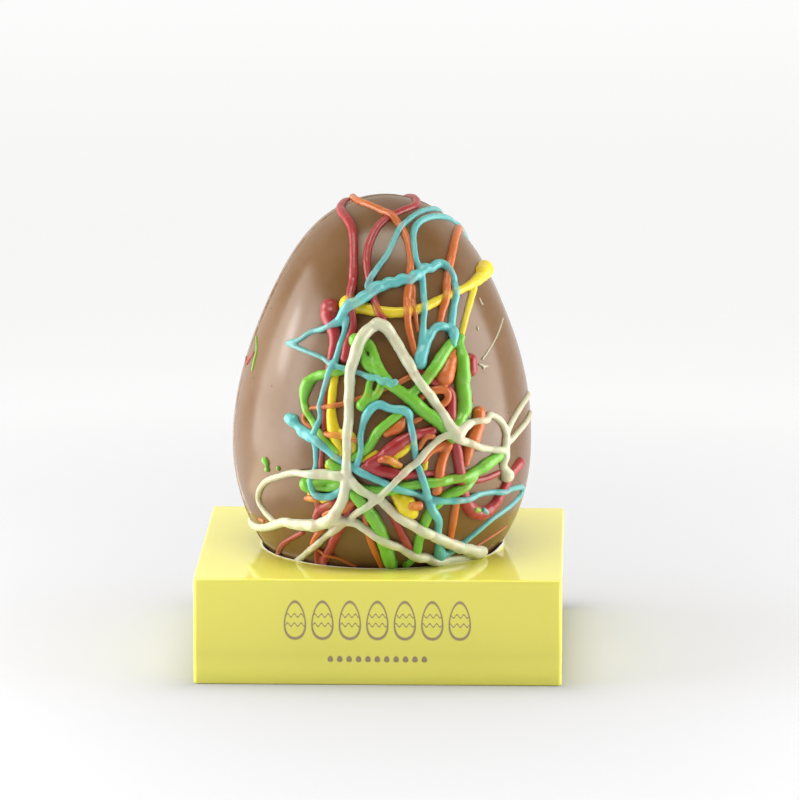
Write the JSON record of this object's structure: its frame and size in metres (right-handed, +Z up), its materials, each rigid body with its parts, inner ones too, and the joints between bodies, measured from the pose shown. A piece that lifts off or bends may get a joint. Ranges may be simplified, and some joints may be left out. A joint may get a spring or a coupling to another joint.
{
  "type": "chocolate egg",
  "caption": "Hollow milk chocolate egg drizzled all over with coloured chocolate, standing upright in the round hole of a square yellow card base.",
  "frame": {"origin": "middle of the card base's underside, which is what the part stands on", "axes": "+Z up along the egg, -Y the side with the front of the drizzle, +X to the right seen from there"},
  "size_m": [0.098, 0.098, 0.1249],
  "materials": {
    "milk_chocolate": "satin milk chocolate",
    "yellow_card": "coated card, glossy",
    "yellow_chocolate": "satin coloured chocolate",
    "red_chocolate": "satin coloured chocolate",
    "orange_chocolate": "satin coloured chocolate",
    "green_chocolate": "satin coloured chocolate",
    "blue_chocolate": "satin coloured chocolate",
    "white_chocolate": "satin white chocolate"
  },
  "bodies": {
    "root": {"egg": "milk_chocolate", "card_base": "yellow_card"}
  },
  "joints": []
}
